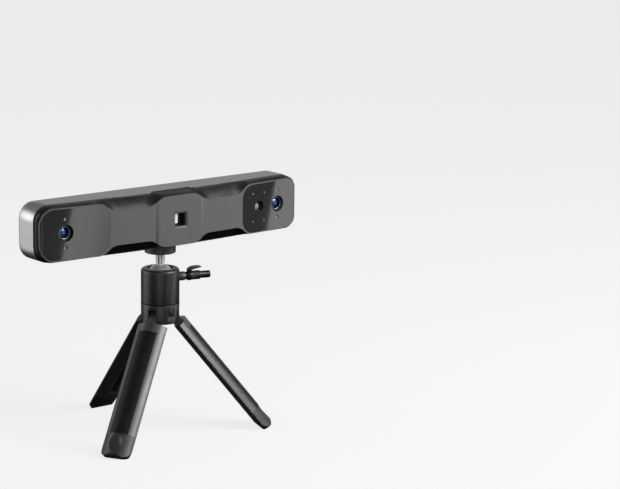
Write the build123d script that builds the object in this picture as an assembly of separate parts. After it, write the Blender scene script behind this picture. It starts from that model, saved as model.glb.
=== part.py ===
from build123d import *
import math
import os

os.makedirs("parts", exist_ok=True)

# Handheld structured-light scanner bar on its folding mini tripod.
# Millimetres, +Z up.  The layout below is written about the tripod's axis
# (x = y = 0, ground at z = 0); every part is then moved by BASE_SHIFT_Y so
# that the row origin is the centre of the assembly's footprint box.
# +X runs along the bar, -Y is the way the cameras look.

# ---------------------------------------------------------------- dimensions
BASE_SHIFT_Y = -22.25      # footprint centre, measured from the tripod axis

# scanner bar
BAR_L = 298.0             # shell length
BAR_H = 53.5              # shell height
BAR_R = 15.0              # shell corner radius seen from the front
BAR_BACK = 14.5           # back face, y
BACK_FILLET = 4.0
WALL = 2.2                # aluminium wall
ZC = 210.6                # height of the bar's long axis

# bowed front
BOW_Y0 = -31.6            # front surface y = BOW_Y0 + BOW_K * x^2
BOW_K = 4.9e-4
PAD_Y = -32.2             # flat centre pad
PLATE_T = 2.0
PLATE_XE = 147.2          # half length of the face plate
PLATE_H = 24.25           # half height at the windows
PLATE_R = 13.5
PAD_H = 23.75             # half height of the centre pad
WAIST_H = 16.0            # half height of the two waists
S1 = (89.0, 67.5)         # window-to-waist curve, x
S2 = (36.5, 13.5)         # waist-to-pad curve, x
RING_XE = 148.4           # black ring, half length
RING_H = 26.2             # black ring, half height
RING_R = 14.5

# optics, x / z in the bar's own frame
CAM_X, CAM_Z = 122.0, 0.9
CAM_R = 7.8
LED_DZ = 13.3
RGB_X, RGB_Z = 97.5, 0.9
RGB_R = 5.9
FLASH_DX, FLASH_DZ = 7.2, 13.5
AP_X, AP_Z, AP_W = 1.2, 0.3, 12.6
WIN_X0, WIN_X1 = 76.2, 146.5
WIN_H, WIN_R = 23.45, 13.0

# tripod
HEAD_R = 18.3             # ball housing and hub
Z_HUB0, Z_SEAM, Z_RIM = 107.5, 126.3, 159.5
Z_BALL, BALL_R = 150.0, 13.5
LINER_R = 14.9
CAVITY_R = 15.2
NECK_R = 4.25
Z_DISC0, Z_DISC1, DISC_R = 174.6, 181.4, 14.8
Z_PAD1 = 183.85           # top of the rubber pad = underside of the bar
STUD_R = 3.1              # 1/4 in camera screw
LOCK_AZ = -16.0           # the lock knob's heading
LEG_HEADINGS = (-30.0, 90.0, 210.0)
LEG_TILT = 38.5
HINGE_R, HINGE_Z = 10.0, 116.0
LEG_LEN = 148.9           # hinge to the foot's tip
LEG_R0, LEG_R1 = 4.4, 18.0
FOOT_LEN = 23.0
PIN_R = 1.5

made = {}


def save(name, shape, color=None):
    made[name] = shape


def cyl(r, x, y, z0, z1):
    return Pos(x, y, (z0 + z1) / 2) * Cylinder(r, z1 - z0)


def box(x0, x1, y0, y1, z0, z1):
    return Pos((x0 + x1) / 2, (y0 + y1) / 2, (z0 + z1) / 2) * Box(x1 - x0, y1 - y0, z1 - z0)


def ycyl(r, x, z, y0, y1):
    """Cylinder along Y from y0 to y1."""
    return Pos(x, (y0 + y1) / 2, z) * Rot(90, 0, 0) * Cylinder(r, abs(y1 - y0))


FRONT = Plane(origin=(0, 0, 0), x_dir=(1, 0, 0), z_dir=(0, -1, 0))


def yprism(face, y0, y1):
    """Extrude a face drawn in X-Z (front view) from y0 to y1, y1 < y0."""
    return Pos(0, y0, 0) * extrude(FRONT * face, amount=y0 - y1)


def rr(xe, h, r, x=0.0, z=0.0):
    return Pos(x, z) * RectangleRounded(2 * xe, 2 * h, r)


def bow(x):
    return BOW_Y0 + BOW_K * x * x


def front_region(t, xe, re, pad=True):
    """Everything behind the bowed front surface, inset by t, in plan view."""
    m = 5.0
    xs = xe - re
    pts = []
    p_pad = (24.5, PAD_Y + t)
    p_step = (27.5, bow(27.5) + t)
    p_end = (xe, bow(xe) + t)
    mid = (27.5 + xe) / 2
    right = ThreePointArc(p_step, (mid, bow(mid) + t), p_end)
    left = ThreePointArc((-xe, bow(xe) + t), (-mid, bow(mid) + t), (-27.5, bow(27.5) + t))
    c = Curve() + [
        Line((-xe, m), (-xe, bow(xe) + t)), left,
        Line((-27.5, bow(27.5) + t), (-24.5, PAD_Y + t)),
        Line((-24.5, PAD_Y + t), (24.5, PAD_Y + t)),
        Line((24.5, PAD_Y + t), p_step), right,
        Line(p_end, (xe, m)), Line((xe, m), (-xe, m))]
    f = make_face(c)
    corners = [v for v in f.vertices() if abs(abs(v.X) - xe) < 0.01 and v.Y < 0]
    f = fillet(corners, re)
    return extrude(f, amount=30, both=True)


def lip_curve():
    """Front edge of the aluminium shell, in plan view, from -X to +X."""
    pts = [(149.5, -11.8), (125, -12.9), (100, -14.9), (80, -16.5), (60, -18.0), (40, -19.0), (26, -19.5)]
    right = Spline(*[(x, y) for x, y in reversed(pts)])
    left = Spline(*[(-x, y) for x, y in pts])
    nr = Bezier((26, -19.5), (22, -19.6), (23, -14.5), (19, -14.5))
    nl = Bezier((-19, -14.5), (-23, -14.5), (-22, -19.6), (-26, -19.5))
    return [left, nl, Line((-19, -14.5), (19, -14.5)), nr, right]


def lip_region(y_far):
    """Plan area between the lip and the line y = y_far, as a tall prism."""
    es = lip_curve()
    e = Curve() + [es[0], es[1], es[2], es[3], es[4],
                   Line((149.5, -11.8), (149.5, y_far)), Line((149.5, y_far), (-149.5, y_far)),
                   Line((-149.5, y_far), (-149.5, -11.8))]
    return extrude(make_face(e), amount=40, both=True)


def bone(k=0.0):
    """Outline of the face plate seen from the front."""
    xe, h, r = PLATE_XE - k, PLATE_H - k, PLATE_R - k
    ph, wh = PAD_H - k, WAIST_H - k
    es = []

    def half(s):
        a, b = S1
        c, d = S2
        g = (a - b) * 0.5
        q = (c - d) * 0.5
        out = [
            Line((-xe, 0), (-xe, s * (h - r))),
            ThreePointArc((-xe, s * (h - r)),
                          (-xe + r * (1 - math.cos(math.pi / 4)), s * (h - r + r * math.sin(math.pi / 4))),
                          (-xe + r, s * h)),
            Line((-xe + r, s * h), (-a, s * h)),
            Bezier((-a, s * h), (-a + g, s * h), (-b - g, s * wh), (-b, s * wh)),
            Line((-b, s * wh), (-c, s * wh)),
            Bezier((-c, s * wh), (-c + q, s * wh), (-d - q, s * ph), (-d, s * ph)),
            Line((-d, s * ph), (d, s * ph)),
            Bezier((d, s * ph), (d + q, s * ph), (c - q, s * wh), (c, s * wh)),
            Line((c, s * wh), (b, s * wh)),
            Bezier((b, s * wh), (b + g, s * wh), (a - g, s * h), (a, s * h)),
            Line((a, s * h), (xe - r, s * h)),
            ThreePointArc((xe - r, s * h),
                          (xe - r * (1 - math.cos(math.pi / 4)), s * (h - r + r * math.sin(math.pi / 4))),
                          (xe, s * (h - r))),
            Line((xe, s * (h - r)), (xe, 0)),
        ]
        return out
    return make_face(Curve() + half(1) + half(-1))


# ------------------------------------------------------------- scanner bar
# aluminium shell: closed back, open front with a bowed lip
outer = yprism(rr(BAR_L / 2, BAR_H / 2, BAR_R), BAR_BACK, -22)
back_edges = [e for e in outer.edges() if abs(e.center().Y - BAR_BACK) < 0.01]
outer = fillet(back_edges, BACK_FILLET)
inner = yprism(rr(BAR_L / 2 - WALL, BAR_H / 2 - WALL, BAR_R - WALL), BAR_BACK - WALL, -30)
shell = outer - inner - lip_region(-60)

BTN_X = 42.0
USB_X = -42.0
LIGHT_X = 28.0
SCREW_XY = [(-128, 14), (-128, -14), (128, 14), (128, -14), (0, 14), (0, -14)]
shell -= ycyl(5.3, BTN_X, 0, 10, 20)
shell -= ycyl(1.5, LIGHT_X, 0, 10, 20)
usb_cut = yprism(rr(4.65, 1.75, 1.7, USB_X, 0), BAR_BACK + 1, 10)
shell -= usb_cut
for x, z in SCREW_XY:
    shell -= ycyl(1.6, x, z, 10, 20)
    shell -= Pos(x, BAR_BACK - 0.75, z) * Rot(90, 0, 0) * Cone(3.0, 1.6, 1.5)
shell -= cyl(5.0, 0, 0, -30, -20)
rear_shell = shell

# black front housing: ring that fills between the lip and the face plate
region_back = front_region(PLATE_T, PLATE_XE, 2.0)
ring = yprism(rr(RING_XE, RING_H, RING_R), -8, -40)
ring = ring & (Pos(0, -0.04, 0) * lip_region(-60))
spigot = yprism(rr(BAR_L / 2 - WALL - 0.15, BAR_H / 2 - WALL - 0.15, BAR_R - WALL - 0.15), -4, -40)
ring_end = front_region(PLATE_T + 0.05, RING_XE + 0.5, 6.0)
housing = (ring + spigot) & ring_end

# tapered front edge: the ring narrows towards the plate
taper = Pos(0, -12.0, 0) * extrude(FRONT * rr(RING_XE + 0.6, RING_H + 0.6, RING_R), amount=25, taper=9)
housing = housing & (yprism(rr(RING_XE + 2, RING_H + 2, RING_R), 0, -12.0) + taper)


def scoop(sx, sz):
    """Cutter for one recess beside a waist, drawn for +X / +Z then mirrored."""
    a, b = S1
    c, d = S2
    g = (a - b) * 0.5
    q = (c - d) * 0.5
    ang = math.degrees(math.atan(2 * BOW_K * 52))
    yf = bow(52) + PLATE_T
    lo = [
        Line((d, 40), (d, PAD_H)),
        Bezier((d, PAD_H), (d + q, PAD_H), (c - q, WAIST_H), (c, WAIST_H)),
        Line((c, WAIST_H), (b, WAIST_H)),
        Bezier((b, WAIST_H), (b + g, WAIST_H), (a - g, PLATE_H), (a, PLATE_H)),
        Line((a, PLATE_H), (a, 40)), Line((a, 40), (d, 40))]
    hi = [
        Line((d, 40), (d, 27.0)), Line((d, 27.0), (c, 26.6)), Line((c, 26.6), (b, 26.6)),
        Line((b, 26.6), (a, 27.0)), Line((a, 27.0), (a, 40)), Line((a, 40), (d, 40))]
    f_lo = make_face(Curve() + lo)
    f_hi = make_face(Curve() + hi)
    pl = Plane(origin=(52, yf, 0), x_dir=(math.cos(math.radians(ang)), math.sin(math.radians(ang)), 0),
               z_dir=(math.sin(math.radians(ang)), -math.cos(math.radians(ang)), 0))
    front = extrude((pl * Pos(-52, 0)) * f_lo, amount=6)
    pl2 = Plane(origin=pl.origin - pl.z_dir * 8.5, x_dir=pl.x_dir, z_dir=pl.z_dir)
    mid = loft([(pl * Pos(-52, 0)) * f_lo, (pl2 * Pos(-52, 0)) * f_hi], ruled=True)
    s = front + mid
    if sx < 0:
        s = mirror(s, Plane.YZ)
    if sz < 0:
        s = mirror(s, Plane.XY)
    return s


for sx in (1, -1):
    for sz in (1, -1):
        housing -= scoop(sx, sz)

housing -= yprism(rr(144.0, 21.5, 10), 0, -14.5)
housing -= yprism(rr(128.0, 13.0, 6), 0, -20.5)
for sx in (1, -1):
    housing -= ycyl(CAM_R + 0.6, sx * CAM_X, CAM_Z, -36, 0)
housing -= ycyl(RGB_R + 0.6, RGB_X, RGB_Z, -36, 0)
AP = yprism(rr(AP_W / 2, AP_W / 2, 1.6, AP_X, AP_Z), 0, -40)
housing -= yprism(rr(AP_W / 2 + 1.2, AP_W / 2 + 1.2, 2, AP_X, AP_Z), 0, -40)
led_holes = None
LEDS = [(s * CAM_X, CAM_Z + k * LED_DZ) for s in (1, -1) for k in (1, -1)]
FLASHES = [(RGB_X + i * FLASH_DX, RGB_Z + k * FLASH_DZ) for i in (1, -1) for k in (1, -1)]
for x, z in LEDS:
    housing -= ycyl(2.1, x, z, -36, 0)
for x, z in FLASHES:
    housing -= ycyl(1.6, x, z, -36, 0)
front_housing = housing

# face plate and windows, cut from one bowed slab
slab = front_region(0.0, PLATE_XE, 3.5) - region_back
front_housing -= box(-7.6, 7.6, -6.7, 6.7, -30, -14)
slab_out = yprism(bone(0.0), 0, -45)
plate_all = slab & slab_out
win_r = yprism(rr((WIN_X1 - WIN_X0) / 2, WIN_H, WIN_R, (WIN_X0 + WIN_X1) / 2, 0), 0, -45)
win_l = yprism(rr((WIN_X1 - WIN_X0) / 2, WIN_H, WIN_R, -(WIN_X0 + WIN_X1) / 2, 0), 0, -45)
front_plate = plate_all - win_r - win_l
# flared aperture in the centre pad
front_plate -= AP
front_plate -= Pos(AP_X, PAD_Y - 0.01, AP_Z) * extrude(
    FRONT * RectangleRounded(AP_W + 3.0, AP_W + 3.0, 2.2), amount=-1.4, taper=45)
gap = 0.05
g_r = yprism(rr((WIN_X1 - WIN_X0) / 2 - gap, WIN_H - gap, WIN_R - gap, (WIN_X0 + WIN_X1) / 2, 0), 0, -45)
g_l = yprism(rr((WIN_X1 - WIN_X0) / 2 - gap, WIN_H - gap, WIN_R - gap, -(WIN_X0 + WIN_X1) / 2, 0), 0, -45)
window_right = slab & g_r
window_left = slab & g_l
window_right -= ycyl(CAM_R, CAM_X, CAM_Z, -45, 0)
window_right -= ycyl(RGB_R, RGB_X, RGB_Z, -45, 0)
window_left -= ycyl(CAM_R, -CAM_X, CAM_Z, -45, 0)
for x, z in LEDS:
    if x > 0:
        window_right -= ycyl(1.7, x, z, -45, 0)
    else:
        window_left -= ycyl(1.7, x, z, -45, 0)
for x, z in FLASHES:
    window_right -= ycyl(1.3, x, z, -45, 0)

save("rear_shell", rear_shell)
save("front_housing", front_housing)
save("front_plate", front_plate)
save("window_left", window_left)
save("window_right", window_right)

# cameras: barrel with a stepped bore and a domed front lens
def camera(name, x, z, r_out, r_lens, y_face, y_back):
    b = ycyl(r_out, x, z, y_face, y_back)
    b -= ycyl(r_lens + 0.9, x, z, y_face - 1, y_face + 2.2)
    b -= ycyl(r_lens, x, z, y_face - 1, y_face + 6.0)
    b -= ycyl(r_lens * 0.62, x, z, y_face - 1, y_back - 2)
    save(name + "_barrel", b)
    rr_ = r_lens * 1.55
    cap = r_lens - 0.03
    dome = Pos(x, y_face + 3.0 + rr_ - 1.6, z) * Sphere(rr_)
    lens = ycyl(cap, x, z, y_face + 1.0, y_face + 5.9) & (dome + ycyl(cap, x, z, y_face + 3.6, y_face + 5.9))
    save(name + "_lens", lens)


y_cam = bow(CAM_X) + 2.3
camera("left_camera", -CAM_X, CAM_Z, CAM_R - 0.15, 5.1, y_cam, -1.0)
camera("right_camera", CAM_X, CAM_Z, CAM_R - 0.15, 5.1, y_cam, -1.0)
y_rgb = bow(RGB_X) + 2.3
camera("colour_camera", RGB_X, RGB_Z, RGB_R - 0.15, 3.9, y_rgb, -3.0)

# pattern projector behind the square aperture
proj = yprism(rr(9.5, 9.5, 2.0, AP_X, AP_Z), -1.0, -20.4)
proj += yprism(rr(AP_W / 2 + 1.0, AP_W / 2 + 1.0, 1.8, AP_X, AP_Z), -20.4, PAD_Y + PLATE_T + 0.05)
proj = proj - yprism(rr(AP_W / 2 - 0.4, AP_W / 2 - 0.4, 1.4, AP_X, AP_Z), -24.6, -40)
proj -= yprism(rr(3.4, 4.6, 0.8, AP_X - 1.6, AP_Z), -19.0, -40)
save("projector_housing", proj)
save("projector_window", yprism(rr(3.35, 4.55, 0.75, AP_X - 1.6, AP_Z), -21.0, -24.0))

leds = [ycyl(1.55, x, z, bow(abs(x)) + 1.2, bow(abs(x)) + 3.6) + ycyl(2.0, x, z, bow(abs(x)) + 2.45, bow(abs(x)) + 3.6)
        for x, z in LEDS]
save("infrared_leds", Compound(children=leds))
fl = [ycyl(1.15, x, z, bow(abs(x)) + 1.0, bow(abs(x)) + 3.6) + ycyl(1.5, x, z, bow(abs(x)) + 2.35, bow(abs(x)) + 3.6)
      for x, z in FLASHES]
save("flash_leds", Compound(children=fl))

# inside: chassis beam, boards, heat spreader, socket, switch
beam = box(-138, 138, -0.9, 1.1, -17, 17)
beam -= box(-8, 8, -2, 3, -30, -9)
for x in (-90, -60, -30, 30, 60):
    beam -= ycyl(4.0, x, 9.5, -3, 3)
beam += box(-136, 136, 1.1, 3.0, 15.2, 17)
for x, z in SCREW_XY:
    beam -= ycyl(3.15, x, z, 1.1, 4)
save("chassis_beam", beam)
main_board = box(-70, 70, 5.2, 6.8, -13, 14) - box(-8, 8, 4, 8, -14, -8)
for x, z in ((-66, 11), (66, 11), (-66, -10), (66, -10)):
    main_board -= ycyl(1.3, x, z, 3, 9)
chips = [box(-20, -6, 4.0, 5.2, -4, 10), box(6, 16, 4.2, 5.2, -2, 8), box(46, 56, 4.3, 5.2, -4, 6)]
for c in chips:
    main_board += c
main_board -= ycyl(3.4, 0, 14, 3, 9)
save("main_board", main_board)
sink = box(-22, 18, 1.15, 2.2, -8, 12) + box(-21, -5, 2.2, 3.95, -5, 11) + box(5, 17, 2.2, 4.15, -3, 9)
sink -= ycyl(3.4, 0, 14, 1, 5)
save("heat_spreader", sink)
sb = [None, None]
sb[0] = box(-138, -106, -2.6, -0.95, -13, 14) - ycyl(CAM_R, -CAM_X, CAM_Z, -6, 2)
sb[1] = box(106, 138, -2.6, -0.95, -13, 14) - ycyl(CAM_R, CAM_X, CAM_Z, -6, 2)
save("sensor_boards", Compound(children=sb))
spacers = [ycyl(2.6, x, z, 1.1, 5.2) - ycyl(1.25, x, z, 0, 6) for x, z in ((-66, 11), (66, 11), (-66, -10), (66, -10))]
save("board_spacers", Compound(children=spacers))
bs = [ycyl(1.2, x, z, 1.2, 6.8) + ycyl(2.3, x, z, 6.8, 8.4) for x, z in ((-66, 11), (66, 11), (-66, -10), (66, -10))]
save("board_screws", Compound(children=bs))

usb = yprism(rr(4.55, 1.65, 1.6, USB_X, 0), BAR_BACK - 0.4, 6.9)
usb -= yprism(rr(4.2, 1.3, 1.25, USB_X, 0), BAR_BACK + 1, 8.0)
usb += box(USB_X - 3.3, USB_X + 3.3, 7.9, BAR_BACK - 1.6, -0.35, 0.35)
save("usb_socket", usb)

btn = ycyl(5.0, BTN_X, 0, BAR_BACK + 0.7, 11.2)
btn = fillet([e for e in btn.edges() if abs(e.center().Y - (BAR_BACK + 0.7)) < 0.01], 0.5)
btn += ycyl(6.2, BTN_X, 0, 12.1, 11.2)
btn += ycyl(1.6, BTN_X, 0, 11.2, 10.2)
btn -= Pos(BTN_X, BAR_BACK + 0.7 + 14.2, 0) * Sphere(14.5)
save("scan_button", btn)
sw = box(BTN_X - 3.1, BTN_X + 3.1, 6.85, 9.0, -3.1, 3.1)
save("button_switch", sw)
light = ycyl(1.4, LIGHT_X, 0, BAR_BACK - 0.1, 7.0) + ycyl(2.2, LIGHT_X, 0, 8.5, 6.85)
save("status_light", light)

# threaded brass insert and its boss under the bar
insert = cyl(5.0, 0, 0, -BAR_H / 2 + 0.1, -BAR_H / 2 + 8.0) - cyl(3.15, 0, 0, -BAR_H / 2 - 1, -BAR_H / 2 + 7.2)
save("tripod_insert", insert)
boss = box(-7.4, 7.4, 0 - 6.4, 6.4, -BAR_H / 2 + WALL + 0.05, -BAR_H / 2 + 9.6) - cyl(5.02, 0, 0, -BAR_H / 2 + 1, -BAR_H / 2 + 8.02)
save("insert_boss", boss)

# back screws: countersunk heads with a hex recess
scr = []
for x, z in SCREW_XY:
    s = Pos(x, BAR_BACK - 0.8, z) * Rot(90, 0, 0) * Cone(2.85, 1.45, 1.4)
    s = s + ycyl(1.45, x, z, BAR_BACK - 1.4, 4.0)
    s -= yprism(Pos(x, z) * RegularPolygon(1.15, 6), BAR_BACK + 0.5, BAR_BACK - 1.2)
    scr.append(s)
save("shell_screws", Compound(children=scr))
posts = []
for x, z in SCREW_XY:
    p = ycyl(2.9, x, z, BAR_BACK - WALL - 0.05, 1.15) - ycyl(1.5, x, z, 16, 3.6)
    posts.append(p)
save("screw_posts", Compound(children=posts))
for n, s in list(made.items()):
    made[n] = Pos(0, 0, ZC) * s

# ------------------------------------------------------------- ball head
ball = Pos(0, 0, Z_BALL) * Sphere(BALL_R)
stem = ball + cyl(NECK_R, 0, 0, Z_BALL + 8, Z_DISC0)
stem -= cyl(NECK_R + 1.0, 0, 0, 163.2, 165.2) - cyl(NECK_R - 0.7, 0, 0, 163.0, 165.4)
stem -= cyl(5, 0, 0, Z_BALL - 20, Z_BALL - BALL_R + 0.3)
save("ball_stem", stem)
disc = cyl(DISC_R, 0, 0, Z_DISC0, Z_DISC1)
disc = fillet([e for e in disc.edges() if abs(e.center().Z - Z_DISC0) < 0.01], 1.0)
disc -= cyl(STUD_R + 0.05, 0, 0, Z_DISC0 + 2.2, Z_DISC1 + 1)
for k in range(36):
    a = math.radians(k * 10)
    disc -= cyl(0.55, (DISC_R + 0.2) * math.cos(a), (DISC_R + 0.2) * math.sin(a), Z_DISC0 + 1.6, Z_DISC1 - 0.8)
save("top_plate", disc)
pad = cyl(DISC_R - 0.5, 0, 0, Z_DISC1, Z_PAD1 - 0.02) - cyl(STUD_R + 0.6, 0, 0, Z_DISC1 - 1, Z_PAD1 + 1)
save("top_pad", pad)
stud = cyl(STUD_R, 0, 0, Z_DISC0 + 2.25, Z_PAD1 + 6.2)
stud = chamfer([e for e in stud.edges() if abs(e.center().Z - (Z_PAD1 + 6.2)) < 0.01], 0.6)
save("camera_stud", stud)

# housing: bored from below, spherical roof, round mouth
hb = cyl(HEAD_R, 0, 0, Z_SEAM + 0.15, Z_RIM)
hb = fillet([e for e in hb.edges() if abs(e.center().Z - Z_RIM) < 0.01], 2.8)
hb = chamfer([e for e in hb.edges() if abs(e.center().Z - (Z_SEAM + 0.15)) < 0.01 and e.length > 60], 0.4)
hb -= Pos(0, 0, Z_BALL) * Sphere(CAVITY_R)
hb -= cyl(CAVITY_R, 0, 0, Z_SEAM - 1, Z_BALL)
LK = Pos(0, 0, Z_BALL - 0.3) * Rot(0, 0, LOCK_AZ)


def xcyl(r, x0, x1):
    return Pos((x0 + x1) / 2, 0, 0) * Rot(0, 90, 0) * Cylinder(r, x1 - x0)


hb -= LK * xcyl(4.6, 10, 17.0)
hb -= LK * xcyl(3.05, 12, 25)
save("ball_housing", hb)
base = cyl(CAVITY_R - 0.05, 0, 0, Z_SEAM + 0.15, 132.0) - cyl(3.25, 0, 0, Z_SEAM - 1, 131.0)
save("head_base", base)
seat = cyl(CAVITY_R - 0.05, 0, 0, 132.0, 141.5) - Pos(0, 0, Z_BALL) * Sphere(CAVITY_R)
seat -= cyl(6.0, 0, 0, 131, 145)
save("lower_seat", seat)
liner = Pos(0, 0, Z_BALL) * Sphere(LINER_R) - Pos(0, 0, Z_BALL) * Sphere(BALL_R + 0.06)
liner = liner & cyl(20, 0, 0, Z_BALL - 8.5, Z_BALL + 4.2)
# grip slots around the liner
for k in range(6):
    liner -= Rot(0, 0, 30 + 60 * k) * box(10, 18, -0.6, 0.6, Z_BALL - 9, Z_BALL - 2.5)
save("ball_liner", liner)

# lock: boss, shoe, screw and winged knob
bossk = LK * (xcyl(4.3, 17.2, 24.0) - xcyl(3.05, 10, 30))
bossk = bossk - cyl(HEAD_R, 0, 0, 130, 170)
save("lock_boss", bossk)
shoe = LK * (xcyl(4.55, 12.0, 16.2)) - Pos(0, 0, Z_BALL) * Sphere(CAVITY_R)
shoe -= LK * xcyl(2.0, 15.2, 17)
save("clamp_shoe", shoe)
screw = LK * (xcyl(3.0, 16.3, 42.0) + xcyl(1.9, 15.25, 16.35))
save("lock_screw", screw)
kn = xcyl(3.7, 25.0, 27.6) + xcyl(4.7, 27.6, 30.8) + xcyl(4.35, 30.8, 39.4) + xcyl(3.45, 39.4, 50.2)
kn = fillet([e for e in kn.edges() if abs(e.center().X - 50.2) < 0.01], 1.0)
kn -= xcyl(3.02, 20, 42.1)
for k in range(12):
    kn -= Rot(k * 30, 0, 0) * Pos(35.1, 0, 4.6) * Rot(0, 90, 0) * Cylinder(0.5, 7.4)
save("lock_knob", LK * kn)
# thumb lever: a thin blade that rises from the knob's collar and runs outwards
XZ = Plane(origin=(0, 0, 0), x_dir=(1, 0, 0), z_dir=(0, -1, 0))
blade = make_face(Curve() + [
    Line((27.7, 4.3), (30.6, 4.3)), Line((30.6, 4.3), (30.6, 6.0)),
    Bezier((30.6, 6.0), (33.0, 7.2), (36.5, 7.5), (40.6, 7.6)),
    Line((40.6, 7.6), (40.6, 8.6)),
    Bezier((40.6, 8.6), (36.0, 8.7), (30.5, 8.4), (27.7, 6.0)), Line((27.7, 6.0), (27.7, 4.3))])
lever = extrude(XZ * blade, amount=4.6, both=True)
lever &= Pos(34.0, 0, 0) * extrude(Ellipse(8.2, 4.6), amount=12)
lever -= xcyl(4.72, 20, 60)
save("lock_lever", LK * lever)

# ------------------------------------------------------------- hub and legs
hub = cyl(HEAD_R, 0, 0, Z_HUB0, Z_SEAM - 0.15)
hub = chamfer([e for e in hub.edges() if abs(e.center().Z - Z_HUB0) < 0.01], 1.0)
hub = chamfer([e for e in hub.edges() if abs(e.center().Z - (Z_SEAM - 0.15)) < 0.01], 0.4)
hub -= cyl(3.25, 0, 0, 100, 130)
hub -= cyl(4.35, 0, 0, 100, 114.6)
for a in LEG_HEADINGS:
    R_ = Rot(0, 0, a)
    hub -= R_ * box(5.0, 25, -4.2, 4.2, 100, 121.2)
    hub -= R_ * Pos(HINGE_R, 0, HINGE_Z) * Rot(90, 0, 0) * Cylinder(PIN_R + 0.05, 60)
save("leg_hub", hub)
hs = cyl(3.2, 0, 0, 108.2, 130.6) + cyl(4.25, 0, 0, 108.2, 114.5)
hs -= Pos(0, 0, 108.2) * extrude(RegularPolygon(2.5, 6), amount=3.0)
save("hub_screw", hs)
for i, a in enumerate(LEG_HEADINGS, start=1):
    save("hinge_pin_%d" % i, Rot(0, 0, a) * Pos(HINGE_R, 0, HINGE_Z) * Rot(90, 0, 0) * Cylinder(PIN_R, 26.4))
wash = cyl(HEAD_R - 0.9, 0, 0, Z_SEAM - 0.15, Z_SEAM + 0.05) - cyl(6.0, 0, 0, 120, 130)
save("swivel_washer", wash)

ground = box(-300, 300, -300, 300, -100, 0)


def sector(r0, r1, half_deg, side_gap, z0, z1):
    """Prism of a 120 degree grip sector about +X, flat inside."""
    s = cyl(r1, 0, 0, z0, z1)
    s -= Rot(0, 0, half_deg) * box(-60, 60, -side_gap, 60, z0 - 1, z1 + 1)
    s -= Rot(0, 0, -half_deg) * box(-60, 60, -60, side_gap, z0 - 1, z1 + 1)
    if r0 > -50:
        s -= box(-60, r0, -60, 60, z0 - 1, z1 + 1)
    return s


Z_TOP = 103.6
Z_TIP = HINGE_Z - LEG_LEN
Z_FOOT = Z_TIP + FOOT_LEN
tilt = Pos(HINGE_R, 0, HINGE_Z) * Rot(0, -LEG_TILT, 0) * Pos(-HINGE_R, 0, -HINGE_Z)

full = sector(LEG_R0, LEG_R1, 60, 0.35, Z_TIP, Z_TOP)
# rounded toe: round in the leg's radial plane, wide and flat seen from
# outside, with a chamfer on the inner side
TOE_X, TOE_R = 12.55, 6.4
toe_z = Z_TIP + TOE_R
dx, dz = TOE_X - LEG_R0, -(TOE_R + 6.1)
far = math.hypot(dx, 6.1)
turn = math.atan2(-6.1, dx) - math.asin(TOE_R / far)
run = math.sqrt(far * far - TOE_R * TOE_R)
tx, tz = LEG_R0 + run * math.cos(turn), toe_z + 6.1 + run * math.sin(turn)
RADIAL = Plane(origin=(0, 0, 0), x_dir=(1, 0, 0), z_dir=(0, -1, 0))
inner_poly = make_face(Polyline([(-60, 140), (-60, toe_z + 6.1), (LEG_R0, toe_z + 6.1), (tx, tz), (TOE_X, toe_z),
                                 (60, toe_z), (60, 140), (-60, 140)]))
end = extrude(RADIAL * inner_poly, amount=40, both=True)
end = end + Pos(TOE_X, 0, toe_z) * Rot(90, 0, 0) * Cylinder(TOE_R, 80)
end2 = extrude(Plane.YZ * Pos(0, Z_TIP + 90) * RectangleRounded(30.8, 180, 9.5), amount=60, both=True)
full = full & end & end2
# shoulder that clears the hub's rim when the leg is out
full -= Pos(HINGE_R + 8.4, 0, Z_TOP + 0.5) * Rot(0, 40, 0) * box(-30, 30, -60, 60, 0, 30)
lug = (Pos(HINGE_R, 0, HINGE_Z) * Rot(90, 0, 0) * Cylinder(4.4, 7.8)) + box(HINGE_R - 4.4, HINGE_R + 4.4, -3.9, 3.9, Z_TOP - 6, HINGE_Z)
lug -= Pos(HINGE_R, 0, HINGE_Z) * Rot(90, 0, 0) * Cylinder(PIN_R + 0.06, 30)

for i, a in enumerate(LEG_HEADINGS, start=1):
    place = Rot(0, 0, a) * tilt
    foot = full & box(-60, 60, -60, 60, Z_TIP - 5, Z_FOOT - 0.1)
    body = full & box(-60, 60, -60, 60, Z_FOOT, 200)
    skin = cyl(LEG_R1 + 1, 0, 0, Z_FOOT + 0.4, Z_TOP - 9.0) - cyl(LEG_R1 - 1.2, 0, 0, Z_FOOT, Z_TOP)
    half = 30.0
    pocket = cyl(LEG_R1 + 1, 0, 0, Z_FOOT + 0.1, Z_TOP - 8.7) - cyl(LEG_R1 - 1.2, 0, 0, Z_FOOT, Z_TOP)
    rim = sector(-60, LEG_R1 + 2, half + 0.9, 0.0, Z_FOOT, Z_TOP)
    cut = Rot(0, 0, 0) * skin
    wedge = sector(-60, LEG_R1 + 2, half, 0.0, Z_FOOT, Z_TOP)
    cover = body & skin & wedge
    body = body - (pocket & rim)
    body = body + lug
    # lightening channel on the inner face
    body -= box(LEG_R0 - 2, LEG_R0 + 4.5, -3.4, 3.4, Z_FOOT + 6, Z_TOP - 16)
    core = box(LEG_R0 + 1.2, LEG_R1 - 5.2, -3.6, 3.6, Z_FOOT - 9, Z_FOOT)
    foot = foot - core
    foot -= Pos(LEG_R1 + 15.7, 0, Z_TIP + 13.6) * Sphere(18.0)
    body = body + (core & box(-60, 60, -3.55, 3.55, Z_FOOT - 8.8, Z_FOOT + 0.01))
    foot = place * foot
    foot = foot - ground
    save("leg_body_%d" % i, place * body)
    save("leg_cover_%d" % i, place * cover)
    save("foot_%d" % i, foot)

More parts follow.
